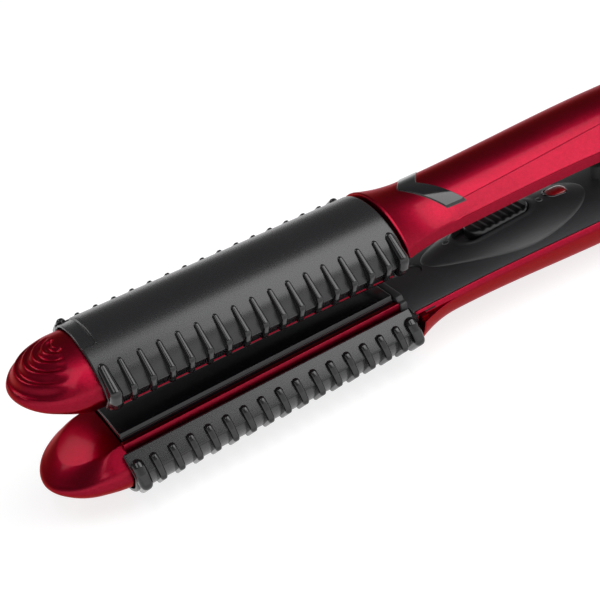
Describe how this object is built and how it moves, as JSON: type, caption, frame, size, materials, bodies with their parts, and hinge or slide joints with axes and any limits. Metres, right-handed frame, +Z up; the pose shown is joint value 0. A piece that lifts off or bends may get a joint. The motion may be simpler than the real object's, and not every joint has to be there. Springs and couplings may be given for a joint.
{
  "type": "hair crimper",
  "caption": "Two-armed hair styler on a sprung hinge with floating heated plates, slide-off comb covers, domed tips, a slide switch and a swivelling cord inlet.",
  "frame": {"origin": "on the surface the styler lies on, below the middle of its length and width", "axes": "+X from the tips to the cord inlet, +Y across the arms, +Z up from the lower arm to the upper arm"},
  "size_m": [0.2658, 0.0424, 0.0469],
  "materials": {
    "red_shell": "satin metallic lacquer on moulded plastic",
    "black_cover": "fine matt",
    "black_gloss": "high gloss",
    "black_panel": "satin",
    "ceramic_plate": "ceramic coated aluminium",
    "heater_ceramic": "sintered ceramic",
    "steel": "bright",
    "board_green": "solder mask",
    "chrome_trim": "plated",
    "red_lens": "clear red plastic",
    "rubber_black": "matt"
  },
  "bodies": {
    "lower_arm": {"lower_shell": "red_shell", "lower_frame": "red_shell", "lower_tip": "red_shell", "lower_springs": "steel", "lower_panel": "black_panel", "switch_pod": "black_panel", "switch_body": "black_panel", "circuit_board": "board_green", "indicator_bezel": "chrome_trim", "indicator_lens": "red_lens", "indicator_led": "red_lens", "bumper": "rubber_black", "lower_screws": "steel", "hinge_pin": "steel", "hinge_caps": "red_shell", "hinge_spring": "steel"},
    "upper_arm": {"upper_shell": "red_shell", "upper_frame": "red_shell", "upper_tip": "red_shell", "upper_springs": "steel", "upper_panel": "black_panel", "upper_screws": "steel", "chevron_frame": "red_shell", "chevron_inlay": "black_gloss"},
    "lower_plate_body": {"lower_plate": "ceramic_plate", "lower_carrier": "black_panel", "lower_heater": "heater_ceramic"},
    "upper_plate_body": {"upper_plate": "ceramic_plate", "upper_carrier": "black_panel", "upper_heater": "heater_ceramic"},
    "switch_knob_body": {"switch_knob": "black_gloss"},
    "lower_cover_body": {"lower_cover": "black_cover"},
    "upper_cover_body": {"upper_cover": "black_cover"},
    "cord_swivel_body": {"cord_swivel": "black_panel"}
  },
  "joints": [
    {"name": "arm_hinge", "type": "hinge", "parent": "lower_arm", "child": "upper_arm", "pos_m": [0.10686, 0, 0.02], "axis": [0, 1, 0], "range_deg": [-1.83, 12], "stiffness_Nm_per_rad": 0.9, "springref_deg": 11.46, "deforming": ["hinge_spring"]},
    {"name": "lower_plate_float", "type": "slide", "parent": "lower_arm", "child": "lower_plate_body", "axis": [0, 0, -1], "range_m": [0, 0.0008], "stiffness_N_per_m": 3000, "springref_m": -0.0003, "deforming": ["lower_springs"]},
    {"name": "upper_plate_float", "type": "slide", "parent": "upper_arm", "child": "upper_plate_body", "axis": [0.0319, 0, 0.9995], "range_m": [0, 0.0008], "stiffness_N_per_m": 3000, "springref_m": -0.0003, "deforming": ["upper_springs"]},
    {"name": "power_slide", "type": "slide", "parent": "lower_arm", "child": "switch_knob_body", "axis": [-1, 0, 0], "range_m": [0, 0.004]},
    {"name": "lower_cover_slide", "type": "slide", "parent": "lower_arm", "child": "lower_cover_body", "axis": [-1, 0, 0], "range_m": [0, 0.11]},
    {"name": "upper_cover_slide", "type": "slide", "parent": "upper_arm", "child": "upper_cover_body", "axis": [-0.9995, 0, 0.0319], "range_m": [0, 0.11]},
    {"name": "cord_turn", "type": "hinge", "parent": "lower_arm", "child": "cord_swivel_body", "pos_m": [0.12886, 0, 0.02], "axis": [1, 0, 0], "continuous": true}
  ]
}
